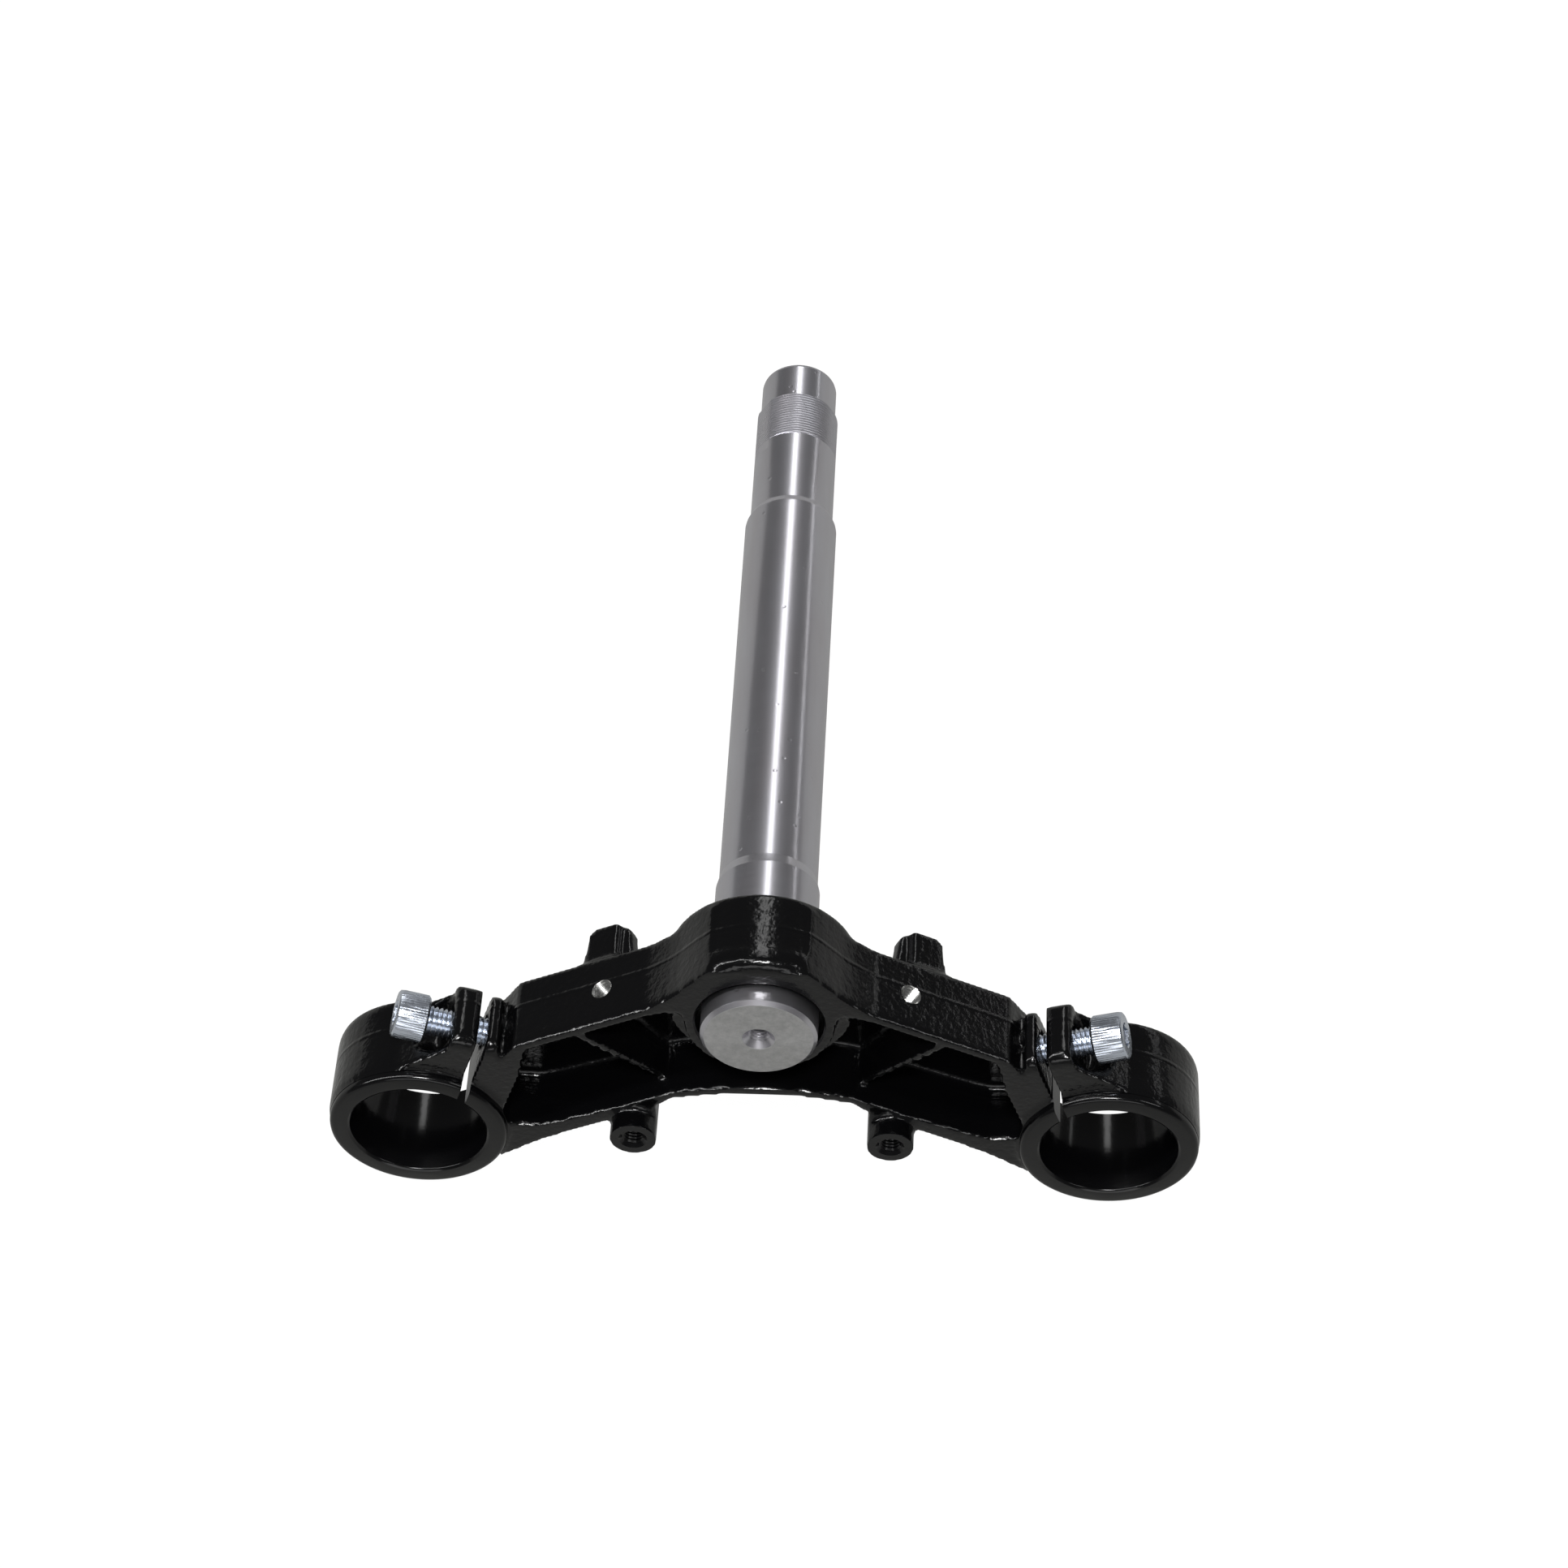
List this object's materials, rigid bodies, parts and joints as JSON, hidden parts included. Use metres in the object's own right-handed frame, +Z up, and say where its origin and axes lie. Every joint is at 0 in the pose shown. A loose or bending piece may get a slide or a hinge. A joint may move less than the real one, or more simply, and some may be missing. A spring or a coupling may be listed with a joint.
{
  "type": "motorcycle lower triple clamp",
  "caption": "Lower triple clamp of a motorcycle fork: black cast arms with two slit fork clamps, pinch bolts and a pressed-in steel steering stem.",
  "frame": {"origin": "on the steering stem's axis, in the plane of the casting's flat underside rim", "axes": "+Z up along the stem, +Y to the front where the fork tubes stand, +X along the line between the fork tubes"},
  "size_m": [0.236, 0.0987, 0.246],
  "materials": {
    "black_casting": "gloss black paint over cast aluminium",
    "turned_steel": "turned and ground, bare",
    "zinc_bolt": "bright zinc plating"
  },
  "bodies": {
    "root": {"lower_clamp": "black_casting", "steering_stem": "turned_steel", "pinch_bolt_left": "zinc_bolt", "pinch_bolt_right": "zinc_bolt"}
  },
  "joints": []
}
